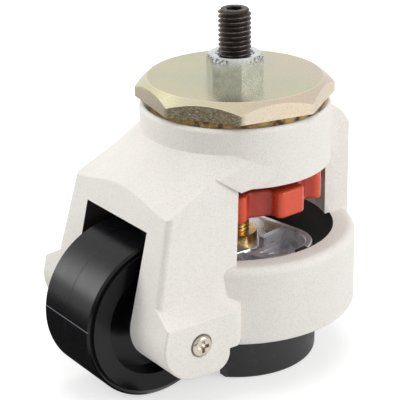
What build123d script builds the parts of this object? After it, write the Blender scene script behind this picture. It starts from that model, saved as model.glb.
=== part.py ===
from build123d import *
import math
import os

os.makedirs("parts", exist_ok=True)

# Frame: millimetres, +Z up, origin on the floor under the swivel axis. The wheel trails towards -X and
# its axle runs along Y.

# ---- wheel and axle ----
wheel_d = 60.0
wheel_half_width = 15.6
wheel_offset = 46.2
tread_edge_chamfer = 0.8
side_land_r = 27.8
side_groove_depth = 1.0
recess_r = 21.2
recess_depth = 7.0
hub_r = 8.6
hub_proud = 0.3
axle_d = 8.0
sleeve_wall = 2.0
axle_screw_d = 5.0
axle_screw_len = 10.0
axle_head_d = 7.9
axle_head_h = 2.3
axle_head_seat = 1.0
axle_head_seat_gap = 0.5
axle_end_room = 0.3
cross_slot_w = 1.3
cross_slot_len = 4.6
cross_slot_depth = 1.3
spacer_wall = 3.6
hub_draft = 0.6
land_step = 0.3

# ---- housing: hood, legs and ears ----
opening_half_w = 19.5
opening_room = 7.1
opening_back_x = -20.0
front_reach = 7.0
front_lean = 0.245
side_y = 30.5
side_z = 76.2
side_flare = 0.1
hood_back_x = -21.4
hood_back_low_x = -24.4
shoulder_z = 90.9
shoulder_sweep = 85.0
shoulder_reach = 10.8
shoulder_mid_z = 66.9
shoulder_end_z = 70.0
leg_end_r = 12.6
leg_toe_r = 14.0
leg_heel_r = 6.3
leg_back_x = -33.6
leg_foot_drop = 5.3
ear_face_y = 41.4
ear_back_x = -30.6
ear_flank_x = -24.0
ear_flank_y = 35.3
ear_top_z = 39.0
ear_bevel = 0.5625
ear_flank_fall = 0.3315
ear_depth = 14.0
ear_edge_r = 0.8
hood_edge_r = 2.4
crease_edge_r = 1.0
web_front_x = -44.0
web_root_x = -31.4
web_tip_x = -4.2
web_tip_z = 83.5
web_fall_x = -22.4
web_under_x = -13.7
web_under_z = 79.5
web_rise = 0.7

# ---- housing: swivel barrel, foot ring, rear column ----
barrel_r = 35.4
barrel_top = 100.2
barrel_bottom = 78.1
barrel_wall = 4.4
barrel_edge_r = 1.8
barrel_mouth_gap = 0.4
shelf_top = 94.0
shelf_thick = 3.0
shelf_bore_r = 10.5
ring_r = 45.1
ring_bore_r = 36.8
ring_bottom = 21.7
ring_top = 51.4
ring_edge_r = 3.0
chamber_r = 34.0
column_half_w = 15.2
column_inner_r = 34.6
column_shoulder_z = 86.7
column_top_z = 93.8
column_root = 4.0
column_edge = 3.0
column_edge_drop = 2.6
guide_w = 5.0
guide_in_r = 32.4
guide_root = 2.0
guide_low = 26.0
guide_high = 50.0
cover_boss_r = 3.6
cover_boss_in = 4.8
cover_screw_count = 3

# ---- swivel head ----
plate_top = 109.5
plate_thick = 7.2
plate_across_flats = 68.0
plate_crown_r = 32.4
plate_crown_slope = 0.834
plate_turn = 11.7
stem_d = 12.0
stem_above_plate = 24.9
stem_chamfer = 0.7
stem_thread_root = 0.55
socket_across_flats = 5.0
socket_depth = 4.0
nut_across_flats = 19.0
nut_h = 8.6
nut_turn = 5.9
head_r = 10.5
head_thick = 3.5
upper_ball_d = 5.0
upper_ball_circle_in = 6.0
upper_ball_count = 24
lower_ball_d = 4.0
lower_ball_circle_r = 15.5
lower_ball_count = 18
ball_gap = 0.05
race_half_w = 4.6
upper_race_thick = 3.5
seat_ring_thick = 2.0
lower_race_thick = 2.7
lower_race_r = 18.8
dust_ring_wall = 2.2
dust_ring_in = 1.2
dust_ring_thick = 1.8
nut_crown = 0.96
nut_crown_slope = 0.62
head_room = 1.9
spacer_tube_wall = 2.6

# ---- levelling screw ----
thumb_r = 31.9
thumb_valley_r = 27.2
thumb_low = 63.4
thumb_high = 73.8
lug_count = 8
lug_turn = 4.0
lug_corner_r = 2.2
lug_root_r = 2.6
lug_edge_r = 1.2
spindle_d = 10.0
spindle_low = 24.6
journal_d = 8.0
spindle_chamfer = 0.9
spindle_end_room = 1.0
clip_r = 6.4
clip_thick = 1.0
clip_grip = 0.7
clip_groove_room = 0.1
thrust_washer_r = 11.0
cover_thick = 2.5
cover_boss = 11.0
cover_boss_room = 1.6
cover_screw_d = 4.0
cover_screw_len = 9.0
cover_screw_head_d = 7.4
cover_screw_head_h = 1.7
drive_pin_d = 3.0
drive_pin_len = 20.0
thumb_hub_r = 13.0
thumb_rim_wall = 3.5
thumb_well = 5.7

# ---- foot ----
bracket_turn = 9.0
bracket_half_w = 14.6
bracket_half_l = 33.8
bracket_top = 49.4
bracket_floor_z = 41.0
bracket_low = 38.0
bracket_wall = 2.8
bracket_edge_r = 0.6
bracket_side_x = 18.6
bracket_side_y = 2.0
bracket_side_r = 34.4
bracket_wheel_gap = 0.8
rib_w = 2.4
rib_near_y = 13.2
rib_far_y = 21.2
rib_drop = 0.8
peg_r = 3.0
peg_x = 6.7
peg_y = 26.4
peg_drop = 2.2
nut_boss_r = 12.2
neck_r = 12.0
flange_r = 26.0
flange_thick = 4.0
flange_z = 12.0
bush_collar_r = 7.9
bush_body_r = 7.0
bush_top = 48.4
bush_collar_h = 3.6
bush_body_low = 38.0
bush_bore_room = 0.6
pad_top_r = 30.7
pad_sole_r = 30.3
pad_draft_z = 13.2
pad_top_z = 24.0
pad_toe_r = 1.6
pad_flat_x = -20.8
wheel_notch_room = 1.4
wheel_notch_x = -14.6
flange_notch_room = 0.6
pad_screw_d = 5.0
pad_screw_head_d = 9.0
pad_screw_head_h = 2.6
pad_screw_y = 20.0
pad_screw_head_room = 0.6
pad_screw_edge_r = 0.8
pad_screw_seat_z = 3.4

# ---- clearances ----
running = 0.05
slide_gap = 0.3
face_gap = 0.15
fit_gap = 0.05
cut_over = 1.0

# ---- levels and sizes that follow from the above ----
wheel_r = wheel_d / 2
opening_top = wheel_d + opening_room
front_x = -wheel_offset - front_reach
leg_low = wheel_r - leg_end_r
leg_foot_z = wheel_r - leg_foot_drop
axle_r = axle_d / 2
sleeve_r = axle_r + running + sleeve_wall
hub_face = wheel_half_width + hub_proud
stem_r = stem_d / 2
thread_root_r = stem_r - stem_thread_root
plate_low = plate_top - plate_thick
nut_top = plate_top + nut_h
stem_top = plate_top + stem_above_plate
barrel_bore_r = barrel_r - barrel_wall
cover_r = barrel_bore_r - barrel_mouth_gap
cover_screw_circle_r = barrel_bore_r - cover_boss_in
upper_ball_circle_r = barrel_bore_r - upper_ball_circle_in
dust_ring_r = barrel_r - dust_ring_in
shelf_low = shelf_top - shelf_thick
seat_ring_top = shelf_top + seat_ring_thick
upper_race_low = plate_low - upper_race_thick
upper_ball_z = (seat_ring_top + upper_race_low) / 2
cover_top = barrel_bottom + cover_thick
head_low = cover_top + clip_thick + head_room
head_top = head_low + head_thick
lower_race_top = head_top + lower_race_thick
lower_ball_z = (lower_race_top + shelf_low) / 2
spindle_r = spindle_d / 2
journal_r = journal_d / 2
spindle_top = cover_top + clip_thick + spindle_end_room
clip_low = cover_top + face_gap
cover_boss_low = thumb_high + cover_boss_room
drive_pin_z = (thumb_low + thumb_high) / 2
flange_top = flange_z + flange_thick
bush_seat_z = bush_top - bush_collar_h
axle_face = ear_face_y - axle_head_seat
axle_half_len = axle_face - axle_end_room
wheel_notch_half_w = wheel_half_width + wheel_notch_room


def side_at(z):
    """Half width of the hood between its flared side planes."""
    return side_y + side_flare * (side_z - z)


def front_at(z):
    """X of the leaning front face."""
    return front_x - front_lean * (opening_top - z)


def disc(radius, low, high):
    """A cylinder on the swivel axis between two levels."""
    return Pos(0, 0, low) * Cylinder(radius, high - low, align=(Align.CENTER, Align.CENTER, Align.MIN))


def tube(outer, inner, low, high):
    """A ring on the swivel axis between two levels."""
    return disc(outer, low, high) - disc(inner, low - cut_over, high + cut_over)


def block(x0, x1, y0, y1, z0, z1):
    """A box between two corners."""
    return Pos((x0 + x1) / 2, (y0 + y1) / 2, (z0 + z1) / 2) * Box(x1 - x0, y1 - y0, z1 - z0)


def along_y(radius, y0, y1, x=-wheel_offset, z=wheel_d / 2):
    """A cylinder parallel to the axle between two Y stations."""
    return Pos(x, (y0 + y1) / 2, z) * Rot(90, 0, 0) * Cylinder(radius, y1 - y0)


def end_profile(points, half_length):
    """An outline in Y and Z given a length both ways along X."""
    face = make_face(Plane.YZ * Polyline(*points, close=True))
    return extrude(face, amount=half_length, both=True)


def turned(points):
    """An outline in radius and height turned about the swivel axis."""
    return revolve(make_face(Plane.XZ * Polyline(*points, close=True)), Axis.Z)


def turned_on_axle(points):
    """An outline in radius and Y turned about the wheel's axle."""
    shape = revolve(make_face(Plane.XZ * Polyline(*points, close=True)), Axis.Z)
    return Pos(-wheel_offset, 0, wheel_r) * Rot(90, 0, 0) * shape


def ball_groove(circle_r, ball_d, z):
    """The rounded groove that a row of balls runs in."""
    return Pos(0, 0, z) * Torus(circle_r, ball_d / 2 + ball_gap)


def ball_row(circle_r, ball_d, count, z):
    """Evenly spaced balls as one group of solids."""
    return Compound(children=[loc * Sphere(ball_d / 2) for loc in PolarLocations(circle_r, count)]).moved(
        Location((0, 0, z))
    )


def cross_slot(length, width, depth):
    """The tool for a cross recess, sunk from the plane Z = 0."""
    bar = Box(length, width, 2 * depth)
    return bar + Rot(0, 0, 90) * bar


# ---- housing ----
def leg_outline(top):
    """The hood and leg seen from the side: leaning front, round toe and heel, raised back."""
    outline = [
        (front_at(top), top),
        (front_at(leg_low), leg_low),
        (leg_back_x, leg_low),
        (leg_back_x, leg_foot_z),
        (hood_back_low_x, leg_foot_z),
        (hood_back_low_x, ring_top),
        (hood_back_x, barrel_bottom),
        (hood_back_x, top),
    ]
    profile = make_face(Plane.XZ * Polyline(*outline, close=True))
    toe, heel = profile.vertices().filter_by(lambda v: abs(v.Z - leg_low) < 0.01).sort_by(Axis.X)
    profile = fillet(toe, leg_toe_r)
    heel_now = profile.vertices().sort_by_distance(Vertex(heel.X, heel.Y, heel.Z))[0]
    return fillet(heel_now, min(leg_heel_r, 0.9 * (leg_foot_z - leg_low)))


def shoulder():
    """Everything under the shoulder, which is ruled from the barrel to a shallow arc ahead of the front."""
    half_y = barrel_r * math.sin(math.radians(shoulder_sweep))
    foot_x = front_x - shoulder_reach
    on_barrel = CenterArc((0, 0, shoulder_z), barrel_r, 180 - shoulder_sweep, 2 * shoulder_sweep)
    ahead = ThreePointArc(
        (foot_x, half_y, shoulder_end_z), (foot_x, 0, shoulder_mid_z), (foot_x, -half_y, shoulder_end_z)
    )
    slope = Face.make_surface_from_curves(on_barrel.edge(), ahead.edge())
    under = extrude(slope, amount=shoulder_z, dir=(0, 0, -1))
    low_part = block(2 * foot_x, 0, -2 * ear_face_y, 2 * ear_face_y, 0, shoulder_mid_z)
    return under + disc(barrel_r, 0, shoulder_z) + low_part


def hood_block():
    """The wheel hood with both legs, bounded by its front, side and shoulder surfaces."""
    body = extrude(leg_outline(barrel_top), amount=2 * ear_face_y, both=True)
    flare = end_profile(
        [(-side_at(0), 0), (side_at(0), 0), (side_at(barrel_top), barrel_top), (-side_at(barrel_top), barrel_top)],
        2 * wheel_offset,
    )
    shaped = body & flare & shoulder()
    front = shaped.edges().filter_by(
        lambda e: e.center().X < front_at(shoulder_z) and e.center().Z > wheel_r + leg_end_r
    )
    upright = front.filter_by(lambda e: abs(e.center().Y) > opening_half_w)
    shaped = fillet(upright, hood_edge_r)
    crease = shaped.edges().filter_by(
        lambda e: e.center().X < front_at(shoulder_z) and abs(e.center().Y) < fit_gap and e.center().Z > opening_top
    )
    return fillet(crease, crease_edge_r)


def shoulder_webs():
    """The hood's sides carried on to the barrel as webs that run out in a point, on both sides."""
    tip_y = math.sqrt(barrel_r**2 - web_tip_x**2)
    edge = side_at(barrel_bottom)
    outline = [(web_front_x, -edge), (web_root_x, -edge), (web_tip_x, -tip_y)]
    outline += [(x, -y) for x, y in reversed(outline)]
    plan = make_face(Plane.XY.offset(barrel_bottom) * Polyline(*outline, close=True))
    rise = web_rise * (hood_back_x - web_front_x)
    upright = make_face(
        Plane.XZ
        * Polyline(
            (web_front_x, barrel_bottom + rise),
            (hood_back_x, barrel_bottom),
            (web_under_x, web_under_z),
            (web_tip_x, web_tip_z),
            (web_fall_x, shoulder_z),
            (web_fall_x, barrel_top),
            (web_front_x, barrel_top),
            close=True,
        )
    )
    return extrude(plan, amount=barrel_top - barrel_bottom) & extrude(upright, amount=barrel_r, both=True) & shoulder()


def barrel():
    """The outside of the swivel barrel, with its rounded rim."""
    body = disc(barrel_r, barrel_bottom, barrel_top)
    return fillet(body.edges().sort_by(Axis.Z)[-1], barrel_edge_r)


def foot_ring():
    """The outside of the lower ring that shelters the foot."""
    body = disc(ring_r, ring_bottom, ring_top)
    body = fillet(body.edges().sort_by(Axis.Z)[-1], ring_edge_r)
    return fillet(body.edges().sort_by(Axis.Z)[0], ring_edge_r / 3)


def rear_column():
    """The column that joins barrel and ring behind the thumbwheel."""
    section = turned(
        [
            (column_inner_r, ring_top - column_root),
            (ring_r, ring_top - column_root),
            (ring_r, column_shoulder_z),
            (ring_r - column_edge, column_top_z - column_edge_drop),
            (barrel_r, column_top_z),
            (column_inner_r, column_top_z),
        ]
    )
    return section & block(0, 2 * ring_r, -column_half_w, column_half_w, 0, plate_top)


def ear(side):
    """The raised pad round the axle screw; its bevelled top falls away towards the ring."""
    high = ear_top_z + ear_bevel * ear_depth
    deep = ear_face_y - ear_depth
    outline = [
        (front_at(high), high),
        (front_at(leg_low), leg_low),
        (leg_back_x, leg_low),
        (leg_back_x, leg_foot_z),
        (ear_flank_x, leg_foot_z),
        (ear_flank_x, high),
    ]
    profile = make_face(Plane.XZ * Polyline(*outline, close=True))
    toe, heel = profile.vertices().filter_by(lambda v: abs(v.Z - leg_low) < 0.01).sort_by(Axis.X)
    profile = fillet(toe, leg_toe_r)
    heel_now = profile.vertices().sort_by_distance(Vertex(heel.X, heel.Y, heel.Z))[0]
    profile = fillet(heel_now, min(leg_heel_r, 0.9 * (leg_foot_z - leg_low)))
    body = extrude(profile, amount=-side * ear_face_y)
    slope = end_profile(
        [(0, 0), (side * ear_face_y, 0), (side * ear_face_y, ear_top_z), (side * deep, high), (0, high)],
        2 * wheel_offset,
    )
    far_x = 2 * front_at(0)
    flank = Plane(
        origin=(ear_back_x, side * ear_face_y, ear_top_z),
        z_dir=(ear_flank_fall, side * ear_flank_fall, 1),
    ) * Pos(0, 0, -2 * ear_top_z) * Box(8 * ear_face_y, 8 * ear_face_y, 4 * ear_top_z)
    plan = make_face(
        Plane.XY
        * Polyline(
            (far_x, side * ear_face_y),
            (ear_back_x, side * ear_face_y),
            (ear_flank_x, side * ear_flank_y),
            (ear_flank_x, side * deep),
            (far_x, side * deep),
            close=True,
        )
    )
    pad = body & slope & flank & extrude(plan, amount=2 * ear_top_z)
    rim = pad.faces().sort_by(Axis.Y)[-1 if side > 0 else 0].edges()
    return fillet(rim, ear_edge_r)


def cover_bosses():
    """Bosses inside the barrel that take the bearing cover's screws."""
    spots = PolarLocations(cover_screw_circle_r, cover_screw_count)
    return [loc * disc(cover_boss_r, cover_top, shelf_low + fit_gap) for loc in spots]


def foot_guides():
    """Two upright ribs in the ring's bore that keep the foot from turning."""
    ribs = []
    for side in (-1, 1):
        y0, y1 = sorted((side * guide_in_r, side * (ring_bore_r + guide_root)))
        ribs.append(Rot(0, 0, bracket_turn) * block(-guide_w / 2, guide_w / 2, y0, y1, guide_low, guide_high))
    return ribs


def housing():
    """The whole die casting."""
    body = hood_block() + shoulder_webs() + barrel() + foot_ring() + rear_column() + ear(-1) + ear(1)
    body -= block(-2 * wheel_offset, opening_back_x, -opening_half_w, opening_half_w, -cut_over, opening_top)
    body -= disc(ring_bore_r, -cut_over, ring_top)
    body -= disc(chamber_r, ring_top - cut_over, barrel_bottom)
    body -= disc(barrel_bore_r, barrel_bottom - cut_over, shelf_low)
    body -= disc(shelf_bore_r, shelf_low - cut_over, shelf_top + cut_over)
    body -= disc(barrel_bore_r, shelf_top, barrel_top + cut_over)
    body -= ball_groove(lower_ball_circle_r, lower_ball_d, lower_ball_z)
    body -= along_y(axle_r + fit_gap, -ear_face_y - cut_over, ear_face_y + cut_over)
    seat_r = axle_head_d / 2 + axle_head_seat_gap
    body -= along_y(seat_r, -ear_face_y - cut_over, -axle_face)
    body -= along_y(seat_r, axle_face, ear_face_y + cut_over)
    for boss in cover_bosses():
        body += boss
    for rib in foot_guides():
        body += rib
    for loc in PolarLocations(cover_screw_circle_r, cover_screw_count):
        body -= loc * disc(cover_screw_d / 2 + fit_gap, cover_top - cut_over, shelf_low - cut_over)
    return body


# ---- swivel head ----
def swivel_plate():
    """The eight-sided top plate, with its crown turned to a circle like a nut's."""
    across_corners = plate_across_flats / math.cos(math.pi / 8)
    plate = extrude(
        Plane.XY.offset(plate_low) * RegularPolygon(across_corners / 2, 8, rotation=plate_turn),
        amount=plate_thick,
    )
    meet = plate_crown_r + plate_thick / plate_crown_slope
    crown = turned([(0, plate_low), (meet, plate_low), (plate_crown_r, plate_top), (0, plate_top)])
    return (plate & crown) - disc(stem_r + fit_gap, plate_low - cut_over, plate_top + cut_over)


def threaded_stem():
    """The flanged king bolt: its head lies under the swivel and its end is the mounting stem."""
    bolt = disc(head_r, head_low, head_top) + disc(stem_r, head_low, plate_top)
    bolt += disc(thread_root_r, head_low, stem_top) + disc(stem_r, nut_top, stem_top)
    bolt = chamfer(bolt.edges().sort_by(Axis.Z)[-1], stem_chamfer)
    socket = extrude(
        Plane.XY.offset(stem_top - socket_depth)
        * RegularPolygon(socket_across_flats / math.sqrt(3), 6, rotation=nut_turn),
        amount=socket_depth + cut_over,
    )
    return bolt - socket


def stem_nut():
    """The hexagon nut that clamps the plate on the stem, bored to the root of the thread."""
    corner_r = nut_across_flats / math.sqrt(3)
    body = extrude(Plane.XY.offset(plate_top) * RegularPolygon(corner_r, 6, rotation=nut_turn), amount=nut_h)
    crown_r = nut_across_flats / 2 * nut_crown
    edge_r = corner_r + cut_over
    fall = (edge_r - crown_r) * nut_crown_slope
    dome = turned([(0, plate_top), (edge_r, plate_top), (edge_r, nut_top - fall), (crown_r, nut_top), (0, nut_top)])
    bore = disc(thread_root_r, plate_top - cut_over, nut_top + cut_over)
    drop = corner_r - nut_across_flats / 2
    sink = turned([(0, nut_top - drop), (stem_r, nut_top - drop), (stem_r + drop, nut_top), (0, nut_top)])
    return (body & dome) - bore - sink


def spacer_tube():
    """The tube round the king bolt that sets the swivel's play."""
    return tube(stem_r + spacer_tube_wall, stem_r + fit_gap, lower_race_top, plate_low)


def upper_race():
    """The hardened ring under the plate."""
    ring = tube(
        upper_ball_circle_r + race_half_w, upper_ball_circle_r - race_half_w, upper_race_low, plate_low
    )
    return ring - ball_groove(upper_ball_circle_r, upper_ball_d, upper_ball_z)


def seat_ring():
    """The hardened ring on the housing's shelf."""
    ring = tube(
        upper_ball_circle_r + race_half_w, upper_ball_circle_r - race_half_w, shelf_top, seat_ring_top
    )
    return ring - ball_groove(upper_ball_circle_r, upper_ball_d, upper_ball_z)


def lower_race():
    """The ring that the king bolt's head holds up under the lower balls."""
    ring = tube(lower_race_r, stem_r + fit_gap, head_top, lower_race_top)
    return ring - ball_groove(lower_ball_circle_r, lower_ball_d, lower_ball_z)


def dust_ring():
    """The thin ring under the plate that closes the gap over the barrel's rim."""
    return tube(dust_ring_r, dust_ring_r - dust_ring_wall, plate_low - dust_ring_thick, plate_low)


# ---- levelling screw ----
def bearing_cover():
    """The cover under the barrel that carries the spindle's journal."""
    body = disc(cover_r, barrel_bottom, cover_top) + disc(cover_boss, cover_boss_low, barrel_bottom)
    body -= disc(journal_r + running, cover_boss_low - cut_over, cover_top + cut_over)
    for loc in PolarLocations(cover_screw_circle_r, cover_screw_count):
        body -= loc * disc(cover_screw_d / 2 + fit_gap, barrel_bottom - cut_over, cover_top + cut_over)
        body -= loc * countersink(fit_gap)
    return body


def countersink(gap):
    """The cone of a cover screw's head, grown by a gap."""
    top_r = cover_screw_d / 2 + gap
    low_r = cover_screw_head_d / 2 + gap
    high = barrel_bottom + cover_screw_head_h
    return turned([(0, barrel_bottom), (low_r, barrel_bottom), (top_r, high), (0, high)])


def cover_screws():
    """The cover's countersunk screws, as a group."""
    screw = countersink(0) + disc(cover_screw_d / 2, barrel_bottom, barrel_bottom + cover_screw_len)
    slot = cross_slot(cross_slot_len * 0.8, cross_slot_w * 0.8, cross_slot_depth * 0.8)
    screw -= Pos(0, 0, barrel_bottom) * slot
    spots = PolarLocations(cover_screw_circle_r, cover_screw_count)
    return Compound(children=[loc * screw for loc in spots])


def spindle():
    """The levelling screw: journal above, thread below."""
    body = disc(spindle_r, spindle_low, thumb_high) + disc(journal_r, thumb_high, spindle_top)
    body = chamfer(body.edges().sort_by(Axis.Z)[0], spindle_chamfer)
    body -= tube(journal_r + cut_over, journal_r - clip_grip - clip_groove_room, clip_low, clip_low + clip_thick)
    pin = Pos(0, 0, drive_pin_z) * Rot(0, 90, lug_turn) * Cylinder(drive_pin_d / 2 + fit_gap, 2 * spindle_d)
    return body - pin


def spindle_clip():
    """The open ring that holds the spindle up in its cover."""
    ring = tube(clip_r, journal_r - clip_grip, clip_low, clip_low + clip_thick - clip_groove_room)
    mouth = journal_r * 0.6
    return ring - block(0, 2 * clip_r, -mouth, mouth, clip_low - cut_over, clip_low + clip_thick)


def thrust_washer():
    """The bronze washer between the thumbwheel and the cover's boss."""
    return tube(thrust_washer_r, journal_r + running, thumb_high, cover_boss_low)


def thumbwheel():
    """The finger wheel with its square lugs."""
    pitch = 360 / lug_count
    lug_half = math.radians(pitch / 4) * thumb_r
    plan = Circle(thumb_valley_r)
    for k in range(lug_count):
        plan += Rot(0, 0, lug_turn + k * pitch) * Pos(thumb_r / 2, 0) * Rectangle(thumb_r, 2 * lug_half)
    tip_r = math.hypot(thumb_r, lug_half)
    plan = fillet(plan.vertices().filter_by(lambda v: math.hypot(v.X, v.Y) > tip_r - fit_gap), lug_corner_r)
    roots = plan.vertices().filter_by(lambda v: abs(math.hypot(v.X, v.Y) - thumb_valley_r) < fit_gap)
    plan = fillet(roots, lug_root_r)
    wheel = extrude(Pos(0, 0, thumb_low) * plan, amount=thumb_high - thumb_low)
    rims = wheel.faces().sort_by(Axis.Z)
    wheel = fillet(rims[-1].edges() + rims[0].edges(), lug_edge_r)
    wheel -= tube(thumb_valley_r - thumb_rim_wall, thumb_hub_r, thumb_low - cut_over, thumb_low + thumb_well)
    wheel -= disc(spindle_r, thumb_low - cut_over, thumb_high + cut_over)
    pin = Pos(0, 0, drive_pin_z) * Rot(0, 90, lug_turn) * Cylinder(drive_pin_d / 2, drive_pin_len)
    return wheel - pin


def drive_pin():
    """The cross pin that keys the thumbwheel to the spindle."""
    pin = Pos(0, 0, drive_pin_z) * Rot(0, 90, lug_turn) * Cylinder(drive_pin_d / 2, drive_pin_len - 0.4)
    return pin


# ---- foot ----
def racetrack(half_w, half_l, low, high):
    """An oblong block with round ends, long along Y."""
    straight = half_l - half_w
    plan = Plane.XY.offset(low) * (
        Rectangle(2 * half_w, 2 * straight)
        + Pos(0, straight) * Circle(half_w)
        + Pos(0, -straight) * Circle(half_w)
    )
    return extrude(plan, amount=high - low)


def bracket_side(inset, low, high):
    """The wider part beside the wheel at one end of the bracket, drawn in by a wall when it is hollowed."""
    side_y0 = wheel_half_width + bracket_side_y + inset
    reach = bracket_side_x - inset
    return block(-reach, 0, -bracket_half_l, -side_y0, low, high) & disc(bracket_side_r - inset, low, high)


def bracket_wing(side):
    """The ribs, ramp and peg in one end of the bracket; side is -1 or +1 along Y."""
    inner_w = bracket_half_w - bracket_wall / 2
    rib_top = bracket_top - rib_drop
    near = block(-inner_w, 0, rib_near_y - rib_w / 2, rib_near_y + rib_w / 2, bracket_low, rib_top)
    far = block(0, inner_w, rib_far_y - rib_w / 2, rib_far_y + rib_w / 2, bracket_low, rib_top)
    ramp = make_face(
        Plane.YZ
        * Polyline(
            (0, bracket_low),
            (rib_far_y + rib_w, bracket_low),
            (rib_far_y + rib_w, bracket_floor_z),
            (rib_near_y - rib_w, bush_seat_z),
            (0, bush_seat_z),
            close=True,
        )
    )
    spine = extrude(ramp, amount=inner_w / 2, both=True)
    peg = Pos(peg_x, peg_y, 0) * disc(peg_r, bracket_low, bracket_top - peg_drop)
    return Rot(0, 0, 90 - 90 * side) * (near + far + spine + peg)


def foot_bracket():
    """The ribbed cast arm that the levelling screw raises and lowers."""
    turn = Rot(0, 0, bracket_turn)
    half_turn = Rot(0, 0, 180)
    inner_w = bracket_half_w - bracket_wall
    inner_l = bracket_half_l - bracket_wall
    body = turn * racetrack(bracket_half_w, bracket_half_l, bracket_low, bracket_top)
    body += bracket_side(0, bracket_low, bracket_top)
    body += half_turn * bracket_side(0, bracket_low, bracket_top)
    body -= turn * racetrack(inner_w, inner_l, bracket_floor_z, bracket_top + cut_over)
    hollow = bracket_side(bracket_wall, bracket_floor_z, bracket_top + cut_over)
    rib_top = bracket_top - rib_drop
    dividing_wall = turn * (
        racetrack(bracket_half_w, bracket_half_l, bracket_floor_z, rib_top)
        - racetrack(inner_w, inner_l, bracket_floor_z - cut_over, rib_top + cut_over)
    )
    body -= hollow - dividing_wall
    body -= half_turn * hollow - dividing_wall
    body = fillet(body.edges().group_by(Axis.Z)[-1], bracket_edge_r)
    body += turn * bracket_wing(-1)
    body += turn * bracket_wing(1)
    body += disc(nut_boss_r, bracket_low, bush_seat_z)
    for side in (-1, 1):
        y0, y1 = sorted((side * (guide_in_r - slide_gap), side * (bracket_half_l + cut_over)))
        slot_half = guide_w / 2 + slide_gap
        body -= turn * block(-slot_half, slot_half, y0, y1, bracket_low - cut_over, bracket_top + cut_over)
    wheel_back_x = wheel_r - wheel_offset + bracket_wheel_gap
    wheel_room = wheel_half_width + bracket_side_y / 2
    body -= block(-2 * bracket_half_w, wheel_back_x, -wheel_room, wheel_room, bracket_low - cut_over, bracket_top + cut_over)
    body += disc(neck_r, flange_z, bracket_low + cut_over)
    flange = disc(flange_r, flange_z, flange_top)
    notch_x = wheel_notch_x + flange_notch_room
    flange -= block(-2 * flange_r, notch_x, -flange_r, flange_r, 0, bracket_low)
    body += flange
    body -= disc(spindle_r + bush_bore_room, flange_top - 2 * cut_over, bracket_top + cut_over)
    body -= disc(bush_body_r, bush_body_low - cut_over, bracket_top + cut_over)
    body -= disc(bush_collar_r, bush_seat_z, bracket_top + cut_over)
    for side in (-1, 1):
        body -= Pos(0, side * pad_screw_y, 0) * disc(
            pad_screw_d / 2 - fit_gap, flange_z - cut_over, flange_top + cut_over
        )
    return body


def spindle_bush():
    """The brass threaded bush pressed into the bracket."""
    body = disc(bush_collar_r, bush_seat_z, bush_top) + disc(bush_body_r, bush_body_low - cut_over, bush_top)
    return body - disc(spindle_r + running, bush_body_low - 2 * cut_over, bush_top + cut_over)


def foot_pad():
    """The rubber foot, cut flat and notched for the wheel."""
    body = turned([(0, 0), (pad_sole_r, 0), (pad_top_r, pad_draft_z), (pad_top_r, pad_top_z), (0, pad_top_z)])
    body = fillet(body.edges().sort_by(Axis.Z)[0], pad_toe_r)
    over = pad_top_z + cut_over
    body -= block(-2 * pad_top_r, pad_flat_x, -pad_top_r, pad_top_r, -cut_over, over)
    body -= block(-2 * pad_top_r, wheel_notch_x, -wheel_notch_half_w, wheel_notch_half_w, -cut_over, over)
    notch_x = wheel_notch_x + flange_notch_room - slide_gap
    well = disc(flange_r + slide_gap, flange_z, over)
    body -= well - block(-2 * flange_r, notch_x, -2 * flange_r, 2 * flange_r, 0, over + cut_over)
    for side in (-1, 1):
        spot = Pos(0, side * pad_screw_y, 0)
        body -= spot * disc(pad_screw_d / 2 + fit_gap, -cut_over, pad_top_z)
        body -= spot * disc(
            pad_screw_head_d / 2 + pad_screw_head_room, -cut_over, pad_screw_seat_z + pad_screw_head_h
        )
    return body


def pad_screws():
    """The two pan-head screws that hold the pad on the bracket's flange."""
    screw = disc(pad_screw_head_d / 2, pad_screw_seat_z, pad_screw_seat_z + pad_screw_head_h)
    screw = fillet(screw.edges().sort_by(Axis.Z)[0], pad_screw_edge_r)
    screw += disc(pad_screw_d / 2 - fit_gap, pad_screw_seat_z + pad_screw_head_h / 2, flange_top)
    screw -= Pos(0, 0, pad_screw_seat_z) * cross_slot(cross_slot_len, cross_slot_w, cross_slot_depth)
    return Compound(children=[Pos(0, side * pad_screw_y, 0) * screw for side in (-1, 1)])


# ---- wheel ----
def wheel():
    """The moulded wheel, the same on both faces."""
    w = wheel_half_width
    half = [
        (sleeve_r, 0),
        (sleeve_r, hub_face),
        (hub_r, hub_face),
        (hub_r + hub_draft, w - recess_depth),
        (recess_r - hub_draft, w - recess_depth),
        (recess_r, w),
        (side_land_r, w),
        (side_land_r + land_step, w - side_groove_depth),
        (wheel_r - tread_edge_chamfer, w - side_groove_depth * 0.6),
        (wheel_r, w - side_groove_depth * 0.6 - tread_edge_chamfer),
    ]
    other = [(r, -y) for r, y in reversed(half) if y > 0]
    return turned_on_axle(half + other)


def wheel_sleeve():
    """The bearing sleeve pressed in the wheel's hub."""
    over = hub_face + cut_over
    return along_y(sleeve_r, -hub_face, hub_face) - along_y(axle_r + running, -over, over)


def axle():
    """The hollow-ended axle between the ears."""
    bar = along_y(axle_r, -axle_half_len, axle_half_len)
    hole = axle_screw_d / 2
    over = axle_half_len + cut_over
    depth = axle_half_len - axle_screw_len - cut_over
    return bar - along_y(hole, -over, -depth) - along_y(hole, depth, over)


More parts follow.
